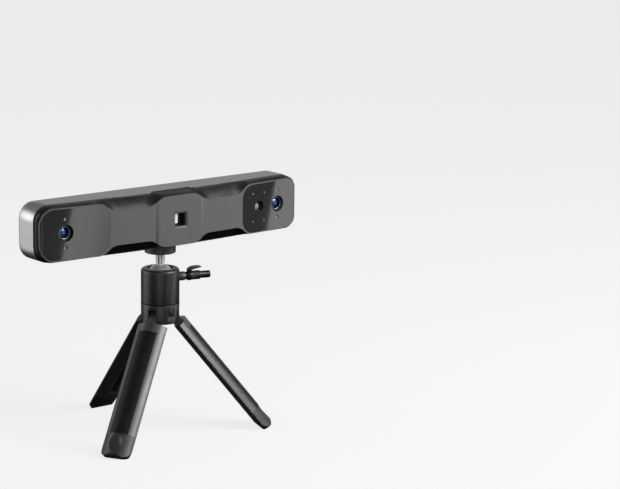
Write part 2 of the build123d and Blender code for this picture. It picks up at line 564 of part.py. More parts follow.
# ------------------------------------------------------------- write
lo = [1e9] * 3
hi = [-1e9] * 3
for n, s in made.items():
    s = Pos(0, BASE_SHIFT_Y, 0) * s
    b = s.bounding_box()
    for k, (u, v) in enumerate(zip(b.min, b.max)):
        lo[k] = min(lo[k], u)
        hi[k] = max(hi[k], v)
    export_step(s, "parts/%s.step" % n)
print("box", [round(v, 2) for v in lo], [round(v, 2) for v in hi])
print("centre", round((lo[0] + hi[0]) / 2, 2), round((lo[1] + hi[1]) / 2, 2))
print(len(made), "nodes")
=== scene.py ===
import math

import bmesh
import bpy
import numpy as np
from mathutils import Matrix, Vector


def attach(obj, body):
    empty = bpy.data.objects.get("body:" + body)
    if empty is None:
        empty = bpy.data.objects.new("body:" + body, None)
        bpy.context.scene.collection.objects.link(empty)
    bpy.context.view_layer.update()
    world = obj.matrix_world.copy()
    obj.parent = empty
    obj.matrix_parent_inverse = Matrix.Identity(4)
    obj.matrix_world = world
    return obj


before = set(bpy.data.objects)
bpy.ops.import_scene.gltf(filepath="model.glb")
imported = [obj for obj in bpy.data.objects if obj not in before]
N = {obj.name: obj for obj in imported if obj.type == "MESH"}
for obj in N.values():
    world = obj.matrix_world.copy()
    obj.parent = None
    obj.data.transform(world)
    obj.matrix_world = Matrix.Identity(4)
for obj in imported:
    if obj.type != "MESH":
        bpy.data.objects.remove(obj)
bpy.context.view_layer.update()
MM = 0.001
SH = -22.25 * MM          # the tripod's axis lies at x = 0, y = SH
ZC = 210.6 * MM           # the bar's long axis

# ------------------------------------------------------------------ camera
AZ, EL = -0.622, 0.211
DIST, F_PX = 2.200, 2327.0
b = Vector((math.sin(AZ) * math.cos(EL), -math.cos(AZ) * math.cos(EL), math.sin(EL)))
r = Vector((math.cos(AZ), math.sin(AZ), 0.0))
u = b.cross(r)
target = Vector((0.0, SH, 0.18185))
centre = target + b * DIST
t = (310.0 - 159.7) / F_PX
fwd = (-b + r * t).normalized()
right = fwd.cross(u).normalized()
cam_data = bpy.data.cameras.new("view_camera")
cam = bpy.data.objects.new("view_camera", cam_data)
bpy.context.scene.collection.objects.link(cam)
m = Matrix((right, u, -fwd)).transposed().to_4x4()
m.translation = centre
cam.matrix_world = m
cam_data.sensor_width = 36.0
cam_data.lens = F_PX * 0.9968 * 36.0 / 620.0
cam_data.clip_start, cam_data.clip_end = 0.05, 60.0
cam_data.dof.use_dof = False
bpy.context.scene.camera = cam


# --------------------------------------------------------------- materials
class Nodes:
    """A small helper for building node trees."""

    def __init__(self, name):
        self.mat = bpy.data.materials.new(name)
        self.mat.use_nodes = True
        self.t = self.mat.node_tree
        self.t.nodes.clear()
        self.out = self.t.nodes.new("ShaderNodeOutputMaterial")
        self.p = self.t.nodes.new("ShaderNodeBsdfPrincipled")
        self.t.links.new(self.p.outputs[0], self.out.inputs[0])
        self.co = self.t.nodes.new("ShaderNodeTexCoord")

    def n(self, kind, **kw):
        x = self.t.nodes.new(kind)
        for k, v in kw.items():
            if k in x.inputs:
                x.inputs[k].default_value = v
            else:
                setattr(x, k, v)
        return x

    def link(self, a, b_):
        self.t.links.new(a, b_)

    def coords(self, scale=(1, 1, 1), rot=(0, 0, 0)):
        mp = self.n("ShaderNodeMapping")
        mp.inputs["Scale"].default_value = scale
        mp.inputs["Rotation"].default_value = rot
        self.link(self.co.outputs["Object"], mp.inputs["Vector"])
        return mp.outputs[0]

    def noise(self, vec, scale, detail=4.0, rough=0.55, dist=0.0):
        x = self.n("ShaderNodeTexNoise")
        x.inputs["Scale"].default_value = scale
        x.inputs["Detail"].default_value = detail
        x.inputs["Roughness"].default_value = rough
        x.inputs["Distortion"].default_value = dist
        self.link(vec, x.inputs["Vector"])
        return x.outputs["Fac"]

    def ramp(self, fac, stops):
        x = self.n("ShaderNodeValToRGB")
        e = x.color_ramp.elements
        while len(e) < len(stops):
            e.new(0.5)
        for el, (pos, col) in zip(e, stops):
            el.position = pos
            el.color = (*col, 1.0) if len(col) == 3 else col
        self.link(fac, x.inputs[0])
        return x.outputs[0]

    def math(self, op, a, b_=None, c=None):
        x = self.n("ShaderNodeMath", operation=op)
        for i, v in enumerate((a, b_, c)):
            if v is None:
                continue
            if isinstance(v, (int, float)):
                x.inputs[i].default_value = v
            else:
                self.link(v, x.inputs[i])
        return x.outputs[0]

    def rng(self, fac, lo, hi, a=0.0, b_=1.0):
        x = self.n("ShaderNodeMapRange")
        x.inputs["From Min"].default_value = a
        x.inputs["From Max"].default_value = b_
        x.inputs["To Min"].default_value = lo
        x.inputs["To Max"].default_value = hi
        self.link(fac, x.inputs["Value"])
        return x.outputs[0]

    def mix(self, fac, a, b_):
        x = self.n("ShaderNodeMix", data_type="RGBA")
        for key, v in ((6, a), (7, b_)):
            if isinstance(v, tuple):
                x.inputs[key].default_value = (*v, 1.0) if len(v) == 3 else v
            else:
                self.link(v, x.inputs[key])
        if isinstance(fac, (int, float)):
            x.inputs[0].default_value = fac
        else:
            self.link(fac, x.inputs[0])
        return x.outputs[2]

    def bump(self, height, strength, dist, normal=None):
        x = self.n("ShaderNodeBump")
        x.inputs["Strength"].default_value = strength
        x.inputs["Distance"].default_value = dist
        self.link(height, x.inputs["Height"])
        if normal is not None:
            self.link(normal, x.inputs["Normal"])
        return x.outputs[0]

    def edge(self, radius=0.0006, lo=0.86, hi=0.995):
        """1 on sharp edges, 0 on flats: where paint wears and dust gathers, and where the front plate's painted
        highlight line goes.
        """
        bv = self.n("ShaderNodeBevel", samples=4)
        bv.inputs["Radius"].default_value = radius
        ge = self.n("ShaderNodeNewGeometry")
        d = self.n("ShaderNodeVectorMath", operation="DOT_PRODUCT")
        self.link(bv.outputs[0], d.inputs[0])
        self.link(ge.outputs["Normal"], d.inputs[1])
        return self.rng(d.outputs["Value"], 1.0, 0.0, lo, hi)


def bowed_normal(k, obj, flat_pad=False):
    """Shading normal of the bowed front, from the part's own coordinates."""
    loc = obj.matrix_world.translation
    geo = k.n("ShaderNodeNewGeometry")
    tn = k.n("ShaderNodeVectorTransform", vector_type="NORMAL", convert_from="WORLD", convert_to="OBJECT")
    k.link(geo.outputs["True Normal"], tn.inputs[0])
    sn = k.n("ShaderNodeSeparateXYZ")
    k.link(tn.outputs[0], sn.inputs[0])
    front = k.math("LESS_THAN", sn.outputs["Y"], -0.955)
    sc_ = k.n("ShaderNodeSeparateXYZ")
    k.link(k.co.outputs["Object"], sc_.inputs[0])
    x = k.math("ADD", sc_.outputs["X"], loc.x)
    slope = k.math("MULTIPLY", x, 2 * 4.9e-4 * 1000.0)
    if flat_pad:
        off = k.math("GREATER_THAN", k.math("ABSOLUTE", x), 0.0260)
        slope = k.math("MULTIPLY", slope, off)
        step = k.math("MULTIPLY", k.math("GREATER_THAN", k.math("ABSOLUTE", x), 0.0245), k.math("LESS_THAN", k.math("ABSOLUTE", x), 0.0275))
        front = k.math("MULTIPLY", front, k.math("SUBTRACT", 1.0, step))
    cv = k.n("ShaderNodeCombineXYZ")
    k.link(slope, cv.inputs["X"])
    cv.inputs["Y"].default_value = -1.0
    nv = k.n("ShaderNodeVectorMath", operation="NORMALIZE")
    k.link(cv.outputs[0], nv.inputs[0])
    tw = k.n("ShaderNodeVectorTransform", vector_type="NORMAL", convert_from="OBJECT", convert_to="WORLD")
    k.link(nv.outputs[0], tw.inputs[0])
    mx = k.n("ShaderNodeMix", data_type="VECTOR")
    k.link(front, mx.inputs[0])
    k.link(geo.outputs["Normal"], mx.inputs[4])
    k.link(tw.outputs[0], mx.inputs[5])
    nn = k.n("ShaderNodeVectorMath", operation="NORMALIZE")
    k.link(mx.outputs[1], nn.inputs[0])
    return nn.outputs[0]


def leg_normal(k, obj, heading):
    """Shading normal of a leg's round outer face, used where the face's own normal lies close to it."""
    loc = Matrix.Translation(obj.matrix_world.translation)
    hinge = Vector((10.0 * MM, 0.0, 116.0 * MM))
    fwd_m = (Matrix.Translation((0, SH, 0)) @ Matrix.Rotation(math.radians(heading), 4, "Z") @ Matrix.Translation(hinge)
             @ Matrix.Rotation(math.radians(-38.5), 4, "Y") @ Matrix.Translation(-hinge))
    inv = fwd_m.inverted() @ loc
    mp = k.n("ShaderNodeMapping", vector_type="POINT")
    mp.inputs["Location"].default_value = inv.to_translation()
    mp.inputs["Rotation"].default_value = inv.to_euler("XYZ")
    k.link(k.co.outputs["Object"], mp.inputs["Vector"])
    sp = k.n("ShaderNodeSeparateXYZ")
    k.link(mp.outputs[0], sp.inputs[0])
    cv = k.n("ShaderNodeCombineXYZ")
    k.link(sp.outputs["X"], cv.inputs["X"])
    k.link(sp.outputs["Y"], cv.inputs["Y"])
    nv = k.n("ShaderNodeVectorMath", operation="NORMALIZE")
    k.link(cv.outputs[0], nv.inputs[0])
    back = k.n("ShaderNodeMapping", vector_type="POINT")
    back.inputs["Rotation"].default_value = fwd_m.to_euler("XYZ")
    k.link(nv.outputs[0], back.inputs["Vector"])
    tw = k.n("ShaderNodeVectorTransform", vector_type="NORMAL", convert_from="OBJECT", convert_to="WORLD")
    k.link(back.outputs[0], tw.inputs[0])
    geo = k.n("ShaderNodeNewGeometry")
    dt = k.n("ShaderNodeVectorMath", operation="DOT_PRODUCT")
    k.link(geo.outputs["True Normal"], dt.inputs[0])
    k.link(tw.outputs[0], dt.inputs[1])
    on = k.math("GREATER_THAN", dt.outputs["Value"], 0.965)
    mx = k.n("ShaderNodeMix", data_type="VECTOR")
    k.link(on, mx.inputs[0])
    k.link(geo.outputs["Normal"], mx.inputs[4])
    k.link(tw.outputs[0], mx.inputs[5])
    nn = k.n("ShaderNodeVectorMath", operation="NORMALIZE")
    k.link(mx.outputs[1], nn.inputs[0])
    return nn.outputs[0]


def true_on_flats(k):
    """The smooth normal, but the face's own normal on flats square to an axis."""
    geo = k.n("ShaderNodeNewGeometry")
    tn = k.n("ShaderNodeVectorTransform", vector_type="NORMAL", convert_from="WORLD", convert_to="OBJECT")
    k.link(geo.outputs["True Normal"], tn.inputs[0])
    ab = k.n("ShaderNodeVectorMath", operation="ABSOLUTE")
    k.link(tn.outputs[0], ab.inputs[0])
    sp = k.n("ShaderNodeSeparateXYZ")
    k.link(ab.outputs[0], sp.inputs[0])
    top = k.math("MAXIMUM", k.math("MAXIMUM", sp.outputs["X"], sp.outputs["Y"]), sp.outputs["Z"])
    mx = k.n("ShaderNodeMix", data_type="VECTOR")
    k.link(k.math("GREATER_THAN", top, 0.9998), mx.inputs[0])
    k.link(geo.outputs["Normal"], mx.inputs[4])
    k.link(geo.outputs["True Normal"], mx.inputs[5])
    return mx.outputs[1]


def finish_mat(k, base, rough, normal=None, **fixed):
    if isinstance(base, tuple):
        k.p.inputs["Base Color"].default_value = (*base, 1.0)
    else:
        k.link(base, k.p.inputs["Base Color"])
    if isinstance(rough, (int, float)):
        k.p.inputs["Roughness"].default_value = rough
    else:
        k.link(rough, k.p.inputs["Roughness"])
    if normal is not None:
        k.link(normal, k.p.inputs["Normal"])
    for key, v in fixed.items():
        k.p.inputs[key.replace("_", " ")].default_value = v
    return k.mat


def painted(name, col, rough, var=0.10, grain=2600.0, depth=0.00002, strength=0.35, edge=None, mottle=55.0, **fixed):
    """Satin paint or anodising: mottled tone, fine grain, lighter worn edges."""
    k = Nodes(name)
    c = k.coords()
    big = k.noise(c, mottle, 5, 0.6)
    fine = k.noise(c, grain, 3, 0.6)
    dark = tuple(x * (1 - var) for x in col)
    lite = tuple(min(1, x * (1 + var)) for x in col)
    base = k.ramp(big, [(0.3, dark), (0.7, lite)])
    speck = k.ramp(fine, [(0.42, (0.86,) * 3), (0.62, (1.06,) * 3)])
    mul = k.n("ShaderNodeMix", data_type="RGBA", blend_type="MULTIPLY")
    mul.inputs[0].default_value = 1.0
    k.link(base, mul.inputs[6])
    k.link(speck, mul.inputs[7])
    base = mul.outputs[2]
    if edge:
        e = k.edge(edge[0])
        scratch = k.noise(c, 420.0, 4, 0.7)
        worn = k.math("MULTIPLY", e, k.rng(scratch, 0.0, 1.0, 0.35, 0.75))
        base = k.mix(k.math("MULTIPLY", worn, edge[2]), base, edge[1])
    rg = k.math("ADD", k.rng(big, rough - 0.04, rough + 0.04, 0.3, 0.7), k.rng(fine, -0.03, 0.03, 0.3, 0.7))
    nr = k.bump(fine, strength, depth)
    return finish_mat(k, base, rg, nr, **fixed)


def moulded(name, col, rough, var=0.12, cell=1500.0, depth=0.00003, strength=0.4, leg=None, **fixed):
    """Moulded plastic or rubber with a spark-eroded grain."""
    k = Nodes(name)
    c = k.coords()
    v = k.n("ShaderNodeTexVoronoi", feature="SMOOTH_F1")
    v.inputs["Scale"].default_value = cell
    k.link(c, v.inputs["Vector"])
    big = k.noise(c, 40.0, 5, 0.62)
    fine = k.noise(c, cell * 2.2, 2, 0.5)
    base = k.ramp(big, [(0.3, tuple(x * (1 - var) for x in col)), (0.7, tuple(min(1, x * (1 + var)) for x in col))])
    h = k.math("ADD", v.outputs["Distance"], k.math("MULTIPLY", fine, 0.5))
    rg = k.math("ADD", k.rng(big, rough - 0.05, rough + 0.05, 0.3, 0.7), k.rng(fine, -0.02, 0.02, 0.3, 0.7))
    if leg:
        nb = leg_normal(k, N[leg[0]], leg[1])
        k.link(nb, k.p.inputs["Coat Normal"])
        return finish_mat(k, base, rg, k.bump(h, strength, depth, nb), **fixed)
    return finish_mat(k, base, rg, k.bump(h, strength, depth), **fixed)


def turned(name, col, rough, axis=(0, 0, 1), strength=0.25, var=0.08, **fixed):
    """Turned or brushed metal: fine parallel lines round or along an axis."""
    k = Nodes(name)
    s = tuple(2500.0 if a else 30.0 for a in axis)
    c = k.coords(scale=s)
    lines = k.noise(c, 1.0, 3, 0.6)
    big = k.noise(k.coords(), 90.0, 4, 0.6)
    base = k.ramp(lines, [(0.3, tuple(x * (1 - var) for x in col)), (0.7, col)])
    rg = k.math("ADD", k.rng(lines, rough - 0.05, rough + 0.06, 0.3, 0.7), k.rng(big, -0.03, 0.03, 0.3, 0.7))
    return finish_mat(k, base, rg, k.bump(lines, strength, 0.00001), Metallic=1.0, **fixed)


M = {}
PLATE_COL = (0.20, 0.202, 0.205)
# bead-blasted anodised aluminium with a faint vertical draw on the ends
k = Nodes("alu_shell")
c = k.coords()
blast = k.noise(c, 5200.0, 3, 0.65)
draw = k.noise(k.coords(scale=(2400.0, 2400.0, 26.0)), 1.0, 3, 0.55)
cloud = k.noise(c, 28.0, 5, 0.6)
basec = k.ramp(cloud, [(0.3, (0.66, 0.665, 0.675)), (0.7, (0.73, 0.735, 0.745))])
tint = k.ramp(draw, [(0.3, (0.90,) * 3), (0.7, (1.04,) * 3)])
mul = k.n("ShaderNodeMix", data_type="RGBA", blend_type="MULTIPLY")
mul.inputs[0].default_value = 1.0
k.link(basec, mul.inputs[6]); k.link(tint, mul.inputs[7])
hh = k.math("ADD", k.math("MULTIPLY", blast, 1.0), k.math("MULTIPLY", draw, 0.6))
rgh = k.math("ADD", k.rng(draw, 0.33, 0.43, 0.3, 0.7), k.rng(blast, -0.03, 0.03, 0.3, 0.7))
# Faces of the shell that face forward are painted dark grey: painted shade on the same metal, not a different finish.
geo = k.n("ShaderNodeNewGeometry")
tn = k.n("ShaderNodeVectorTransform", vector_type="NORMAL", convert_from="WORLD", convert_to="OBJECT")
k.link(geo.outputs["True Normal"], tn.inputs[0])
sy = k.n("ShaderNodeSeparateXYZ")
k.link(tn.outputs[0], sy.inputs[0])
forward_face_shade = k.math("LESS_THAN", sy.outputs["Y"], -0.55)
shell_col = k.mix(forward_face_shade, mul.outputs[2], (0.10, 0.10, 0.105))
M["shell"] = finish_mat(k, shell_col, rgh, k.bump(hh, 0.30, 0.000012, true_on_flats(k)), Metallic=1.0)

M["ring"] = painted("ring_black", (0.011, 0.011, 0.012), 0.33, 0.15, grain=3000.0, depth=0.000008, strength=0.2,
                    edge=(0.0005, (0.05, 0.05, 0.05), 0.5), Specular_IOR_Level=0.35)
k = Nodes("plate_grey")
c = k.coords()
big = k.noise(c, 55.0, 5, 0.6)
fine = k.noise(c, 4200.0, 3, 0.6)
base = k.ramp(big, [(0.3, tuple(v * 0.96 for v in PLATE_COL)), (0.7, tuple(v * 1.04 for v in PLATE_COL))])
speck = k.ramp(fine, [(0.42, (0.93,) * 3), (0.62, (1.03,) * 3)])
mul = k.n("ShaderNodeMix", data_type="RGBA", blend_type="MULTIPLY")
mul.inputs[0].default_value = 1.0
k.link(base, mul.inputs[6]); k.link(speck, mul.inputs[7])
# The plate's sharp edges are painted light grey: a painted highlight line along its bevels.
base = k.mix(k.math("MULTIPLY", k.edge(0.0004), 0.45), mul.outputs[2], (0.42, 0.42, 0.42))
rg = k.math("ADD", k.rng(big, 0.42, 0.48, 0.3, 0.7), k.rng(fine, -0.03, 0.03, 0.3, 0.7))
M["plate"] = finish_mat(k, base, rg, k.bump(fine, 0.3, 0.000008, bowed_normal(k, N["front_plate"], True)), Specular_IOR_Level=0.45)
k = Nodes("window_glass")
c = k.coords()
big = k.noise(c, 22.0, 4, 0.5)
dust = k.noise(c, 900.0, 2, 0.5)
base = k.ramp(big, [(0.3, (0.040, 0.040, 0.041)), (0.7, (0.046, 0.046, 0.047))])
rg = k.math("ADD", k.rng(big, 0.04, 0.06, 0.3, 0.7), k.rng(dust, 0.0, 0.03, 0.62, 0.8))
wn = bowed_normal(k, N["window_left"])
M["window"] = finish_mat(k, base, rg, wn, Coat_Weight=0.6, Coat_Roughness=0.03, Specular_IOR_Level=0.6)
k.link(wn, k.p.inputs["Coat Normal"])
M["barrel"] = painted("barrel_black", (0.008, 0.008, 0.008), 0.5, 0.15, grain=3800.0, depth=0.00001)
k = Nodes("lens_coated")
c = k.coords()
lw = k.n("ShaderNodeLayerWeight"); lw.inputs["Blend"].default_value = 0.35
swirl = k.noise(c, 160.0, 3, 0.5, 0.4)
fac = k.math("ADD", lw.outputs["Facing"], k.rng(swirl, -0.12, 0.12, 0.3, 0.7))
base = k.ramp(fac, [(0.0, (0.10, 0.22, 0.62)), (0.22, (0.03, 0.09, 0.38)), (0.45, (0.02, 0.05, 0.20)), (0.65, (0.10, 0.20, 0.16)), (0.85, (0.20, 0.08, 0.16))])
M["lens"] = finish_mat(k, base, 0.04, None, Metallic=0.55, Coat_Weight=1.0, Coat_Roughness=0.01, Specular_IOR_Level=0.8)
M["frost"] = moulded("frosted_grey", (0.50, 0.50, 0.50), 0.35, 0.06, cell=2600.0, depth=0.00001, strength=0.2, Coat_Weight=0.5, Coat_Roughness=0.1)
M["led"] = moulded("led_epoxy", (0.62, 0.61, 0.58), 0.12, 0.08, cell=2600.0, depth=0.00001, strength=0.15, Coat_Weight=0.8, Coat_Roughness=0.03)
M["board"] = painted("solder_mask", (0.012, 0.09, 0.045), 0.35, 0.2)
M["alu_in"] = turned("alu_machined", (0.55, 0.56, 0.57), 0.35, (1, 0, 0))
M["brass"] = turned("brass_turned", (0.72, 0.54, 0.25), 0.28)
M["steel"] = turned("steel_turned", (0.50, 0.50, 0.51), 0.26)
M["chrome"] = turned("chrome_polished", (0.92, 0.92, 0.93), 0.20, strength=0.05, var=0.02)
M["chrome"].node_tree.nodes["Principled BSDF"].inputs["Metallic"].default_value = 0.6
M["black"] = painted("tripod_black", (0.017, 0.017, 0.018), 0.40, 0.10, grain=2400.0, depth=0.000014, strength=0.3,
                     edge=(0.0006, (0.12, 0.12, 0.12), 0.5), Specular_IOR_Level=0.9, Coat_Weight=0.3, Coat_Roughness=0.25)
M["grey"] = painted("tripod_grey", (0.13, 0.13, 0.13), 0.38, 0.08, grain=2600.0, depth=0.000012,
                    edge=(0.0005, (0.4, 0.4, 0.4), 0.5), Metallic=0.5)
# The leg bodies are painted lighter and more specular than the leg covers, though both are the same dark plastic: a
# painted lit strip along each leg's side.
for i, h in ((1, -30.0), (2, 90.0), (3, 210.0)):
    M["leg_side_painted_lit_%d" % i] = moulded("leg_side_painted_lit_%d" % i, (0.060, 0.060, 0.061), 0.34, 0.08, cell=2400.0, depth=0.000006, strength=0.08,
                                   leg=("leg_body_%d" % i, h), Specular_IOR_Level=1.0, Coat_Weight=0.4, Coat_Roughness=0.3)
    M["leg_skin_%d" % i] = moulded("leg_skin_%d" % i, (0.010, 0.010, 0.011), 0.40, 0.12, cell=1800.0, depth=0.000008, strength=0.14,
                                   leg=("leg_cover_%d" % i, h), Specular_IOR_Level=0.28)
    M["rubber_%d" % i] = moulded("foot_rubber_%d" % i, (0.028, 0.028, 0.028), 0.40, 0.15, cell=1500.0, depth=0.000014, strength=0.3,
                                 leg=("foot_%d" % i, h), Specular_IOR_Level=0.8, Coat_Weight=0.2, Coat_Roughness=0.35)
M["rubber"] = moulded("foot_rubber", (0.030, 0.030, 0.030), 0.38, 0.15, cell=1500.0, depth=0.000014, strength=0.3, Specular_IOR_Level=0.9, Coat_Weight=0.25, Coat_Roughness=0.35)
M["nylon"] = moulded("nylon", (0.42, 0.42, 0.40), 0.45, 0.05)
M["knob"] = moulded("knob_black", (0.012, 0.012, 0.0125), 0.30, 0.12, cell=2200.0, depth=0.00001, strength=0.3)
M["button"] = painted("button_key", (0.03, 0.03, 0.032), 0.35, 0.1)
k = Nodes("light_pipe")
c = k.coords()
nz = k.noise(c, 700.0, 3, 0.5)
base = k.ramp(nz, [(0.3, (0.55, 0.62, 0.66)), (0.7, (0.72, 0.78, 0.82))])
M["light"] = finish_mat(k, base, 0.18, k.bump(nz, 0.2, 0.00001), Coat_Weight=0.5, Coat_Roughness=0.05)
# The projector window is given a faint glow by emission: painted light, no lamp stands behind it.
k = Nodes("projector_glass")
c = k.coords()
nz = k.noise(c, 500.0, 3, 0.5)
base = k.ramp(nz, [(0.3, (0.80, 0.81, 0.82)), (0.7, (0.92, 0.92, 0.93))])
k.link(base, k.p.inputs["Emission Color"])
M["glass"] = finish_mat(k, base, 0.15, k.bump(nz, 0.15, 0.00001), Coat_Weight=0.5, Coat_Roughness=0.05, Emission_Strength=0.55)

USE = {
    "rear_shell": "shell", "front_housing": "ring", "front_plate": "plate", "window_left": "window", "window_right": "window",
    "left_camera_barrel": "barrel", "right_camera_barrel": "barrel", "colour_camera_barrel": "barrel",
    "left_camera_lens": "lens", "right_camera_lens": "lens", "colour_camera_lens": "frost",
    "projector_housing": "barrel", "projector_window": "glass", "infrared_leds": "led", "flash_leds": "led",
    "chassis_beam": "alu_in", "main_board": "board", "heat_spreader": "alu_in", "sensor_boards": "board",
    "board_spacers": "steel", "board_screws": "steel", "usb_socket": "steel", "scan_button": "button", "button_switch": "barrel",
    "status_light": "light", "tripod_insert": "brass", "insert_boss": "alu_in", "shell_screws": "steel", "screw_posts": "alu_in",
    "ball_stem": "chrome", "top_plate": "grey", "top_pad": "rubber", "camera_stud": "steel", "ball_housing": "black",
    "head_base": "black", "lower_seat": "nylon", "ball_liner": "nylon", "lock_boss": "grey", "clamp_shoe": "nylon",
    "lock_screw": "steel", "lock_knob": "knob", "lock_lever": "knob", "leg_hub": "black", "hub_screw": "steel",
    "swivel_washer": "nylon", "hinge_pin_1": "black", "hinge_pin_2": "black", "hinge_pin_3": "black"}
for i in (1, 2, 3):
    USE["leg_body_%d" % i] = "leg_side_painted_lit_%d" % i
    USE["leg_cover_%d" % i] = "leg_skin_%d" % i
    USE["foot_%d" % i] = "rubber_%d" % i


def assign(o, mat):
    o.data.materials.clear()
    o.data.materials.append(mat)


for n, o in N.items():
    assign(o, M[USE[n]])

# rounded edges on the carried-over parts
BEVEL = {"rear_shell": 0.2, "front_plate": 0.3, "window_left": 0.25, "window_right": 0.25, "front_housing": 0.35,
         "ball_housing": 0.35, "leg_hub": 0.35, "top_plate": 0.2, "lock_boss": 0.2, "lock_knob": 0.25, "lock_lever": 0.25,
         "scan_button": 0.15, "usb_socket": 0.08, "shell_screws": 0.06, "top_pad": 0.2}
for i in (1, 2, 3):
    BEVEL["foot_%d" % i] = 0.5
for n, w in BEVEL.items():
    o = N[n]
    wd = o.modifiers.new("join", "WELD")
    wd.merge_threshold = 1e-6
    bv = o.modifiers.new("round", "BEVEL")
    bv.width = w * MM
    bv.segments = 2
    bv.limit_method = "ANGLE"
    bv.angle_limit = math.radians(32)
    bv.harden_normals = True
    bv.use_clamp_overlap = True
    o.data.polygons.foreach_set("use_smooth", [True] * len(o.data.polygons))

# light levels
FLOOR_E = 0.79
WORLD_STOPS = [(-1.0, 0.010), (-0.05, 0.03), (0.03, 0.42), (0.28, 0.40), (0.50, 0.12), (1.0, 0.16)]
KEY_R, KEY_L, KEY_F = 6.5, 1.1, 0.6
CARD_A, CARD_B = 1.6, 1.6


# ------------------------------------------------------------- fine pieces
def lathe(name, profile, matrix, mat, body, seg=96, closed=True, ripple=None):
    """Surface of revolution about local Z: profile is (radius, height) in mm."""
    bm = bmesh.new()
    rings = []
    for kx in range(seg):
        a_ = 2 * math.pi * kx / seg
        row = []
        for ri, (rad, z) in enumerate(profile):
            rad_ = rad + (ripple(kx, ri) if ripple else 0.0)
            row.append(bm.verts.new((rad_ * MM * math.cos(a_), rad_ * MM * math.sin(a_), z * MM)))
        rings.append(row)
    np_ = len(profile)
    for kx in range(seg):
        r0, r1 = rings[kx], rings[(kx + 1) % seg]
        for q in range(np_ if closed else np_ - 1):
            q2 = (q + 1) % np_
            bm.faces.new((r0[q], r1[q], r1[q2], r0[q2]))
    bmesh.ops.recalc_face_normals(bm, faces=bm.faces)
    me = bpy.data.meshes.new(name)
    bm.to_mesh(me)
    bm.free()
    me.polygons.foreach_set("use_smooth", [True] * len(me.polygons))
    o = bpy.data.objects.new(name, me)
    bpy.context.scene.collection.objects.link(o)
    o.matrix_world = matrix
    me.materials.append(mat)
    bv_ = o.modifiers.new("round", "BEVEL")
    bv_.width = 0.00004
    bv_.segments = 1
    bv_.limit_method = "ANGLE"
    bpy.context.view_layer.update()
    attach(o, body)
    return o


def face_y(x, y, z):
    """Local Z points out of the scanner's front, towards -Y."""
    return Matrix.Translation((x * MM, y * MM + SH, z * MM + ZC)) @ Matrix.Rotation(math.radians(90), 4, "X")


BOW = lambda x: -31.6 + 4.9e-4 * x * x
M["seam"] = painted("seam_shadow", (0.004, 0.004, 0.004), 0.8, 0.2, grain=1800.0, Specular_IOR_Level=0.05)
M["ring_metal"] = turned("lens_ring_metal", (0.42, 0.42, 0.43), 0.22, (0, 0, 1))
M["ring_dark"] = painted("lens_ring_dark", (0.02, 0.02, 0.021), 0.3, 0.1, grain=2500.0)

# dark ring laid in the parting line between the hub and the ball housing: painted shade of the seam
lathe("parting_line_painted_shade", [(18.0, -0.42), (18.36, -0.36), (18.36, 0.36), (18.0, 0.42), (17.9, 0.0)],
      Matrix.Translation((0, SH, 126.3 * MM)), M["seam"], "hub")
# lens barrels: retaining ring and front collar
for nm, x_, rl in (("left", -122.0, 5.1), ("right", 122.0, 5.1)):
    yb = BOW(x_) + 2.3
    lathe(nm + "_lens_ring", [(rl + 0.05, -0.95), (rl + 0.05, -0.55), (rl + 0.35, -0.35), (rl + 0.8, -0.35), (rl + 0.85, -0.95)],
          face_y(x_, yb, 0.9), M["ring_metal"], "scanner", ripple=lambda kx, ri: 0.03 if (kx // 2) % 2 and ri == 3 else 0.0)
    lathe(nm + "_front_collar", [(6.15, 0.02), (6.3, 0.35), (7.3, 0.42), (7.55, 0.20), (7.55, 0.02)],
          face_y(x_, yb, 0.9), M["ring_dark"], "scanner")
lathe("colour_lens_ring", [(3.95, -0.85), (3.95, -0.5), (4.2, -0.32), (4.7, -0.32), (4.75, -0.85)],
      face_y(97.5, BOW(97.5) + 2.3, 0.9), M["ring_dark"], "scanner")
# bayonet of the camera stud: visible thread under the bar is hidden, so only
# the neck carries a turned collar at its foot
lathe("neck_collar", [(4.27, -0.5), (4.75, -0.3), (4.85, 0.0), (4.75, 0.3), (4.27, 0.5)],
      Matrix.Translation((0, SH, 173.6 * MM)), M["ring_dark"], "scanner")

# ------------------------------------------------------------ floor, lights
fm = Nodes("floor_pale")
nz = fm.noise(fm.coords(), 3.0, 3, 0.5)
fm.p.inputs["Specular IOR Level"].default_value = 0.0
fb = fm.ramp(nz, [(0.2, (0.20, 0.20, 0.20)), (0.8, (0.205, 0.205, 0.205))])
fm.link(fb, fm.p.inputs["Base Color"])
fm.p.inputs["Roughness"].default_value = 1.0
fm.p.inputs["Emission Color"].default_value = (1, 1, 1, 1)
fm.p.inputs["Emission Strength"].default_value = FLOOR_E
bpy.ops.mesh.primitive_circle_add(vertices=96, radius=14.0, fill_type="NGON", location=(0, 0, 0))
floor = bpy.context.object
floor.name = "floor"
floor.data.materials.append(fm.mat)
floor.visible_diffuse = False
floor.visible_glossy = False

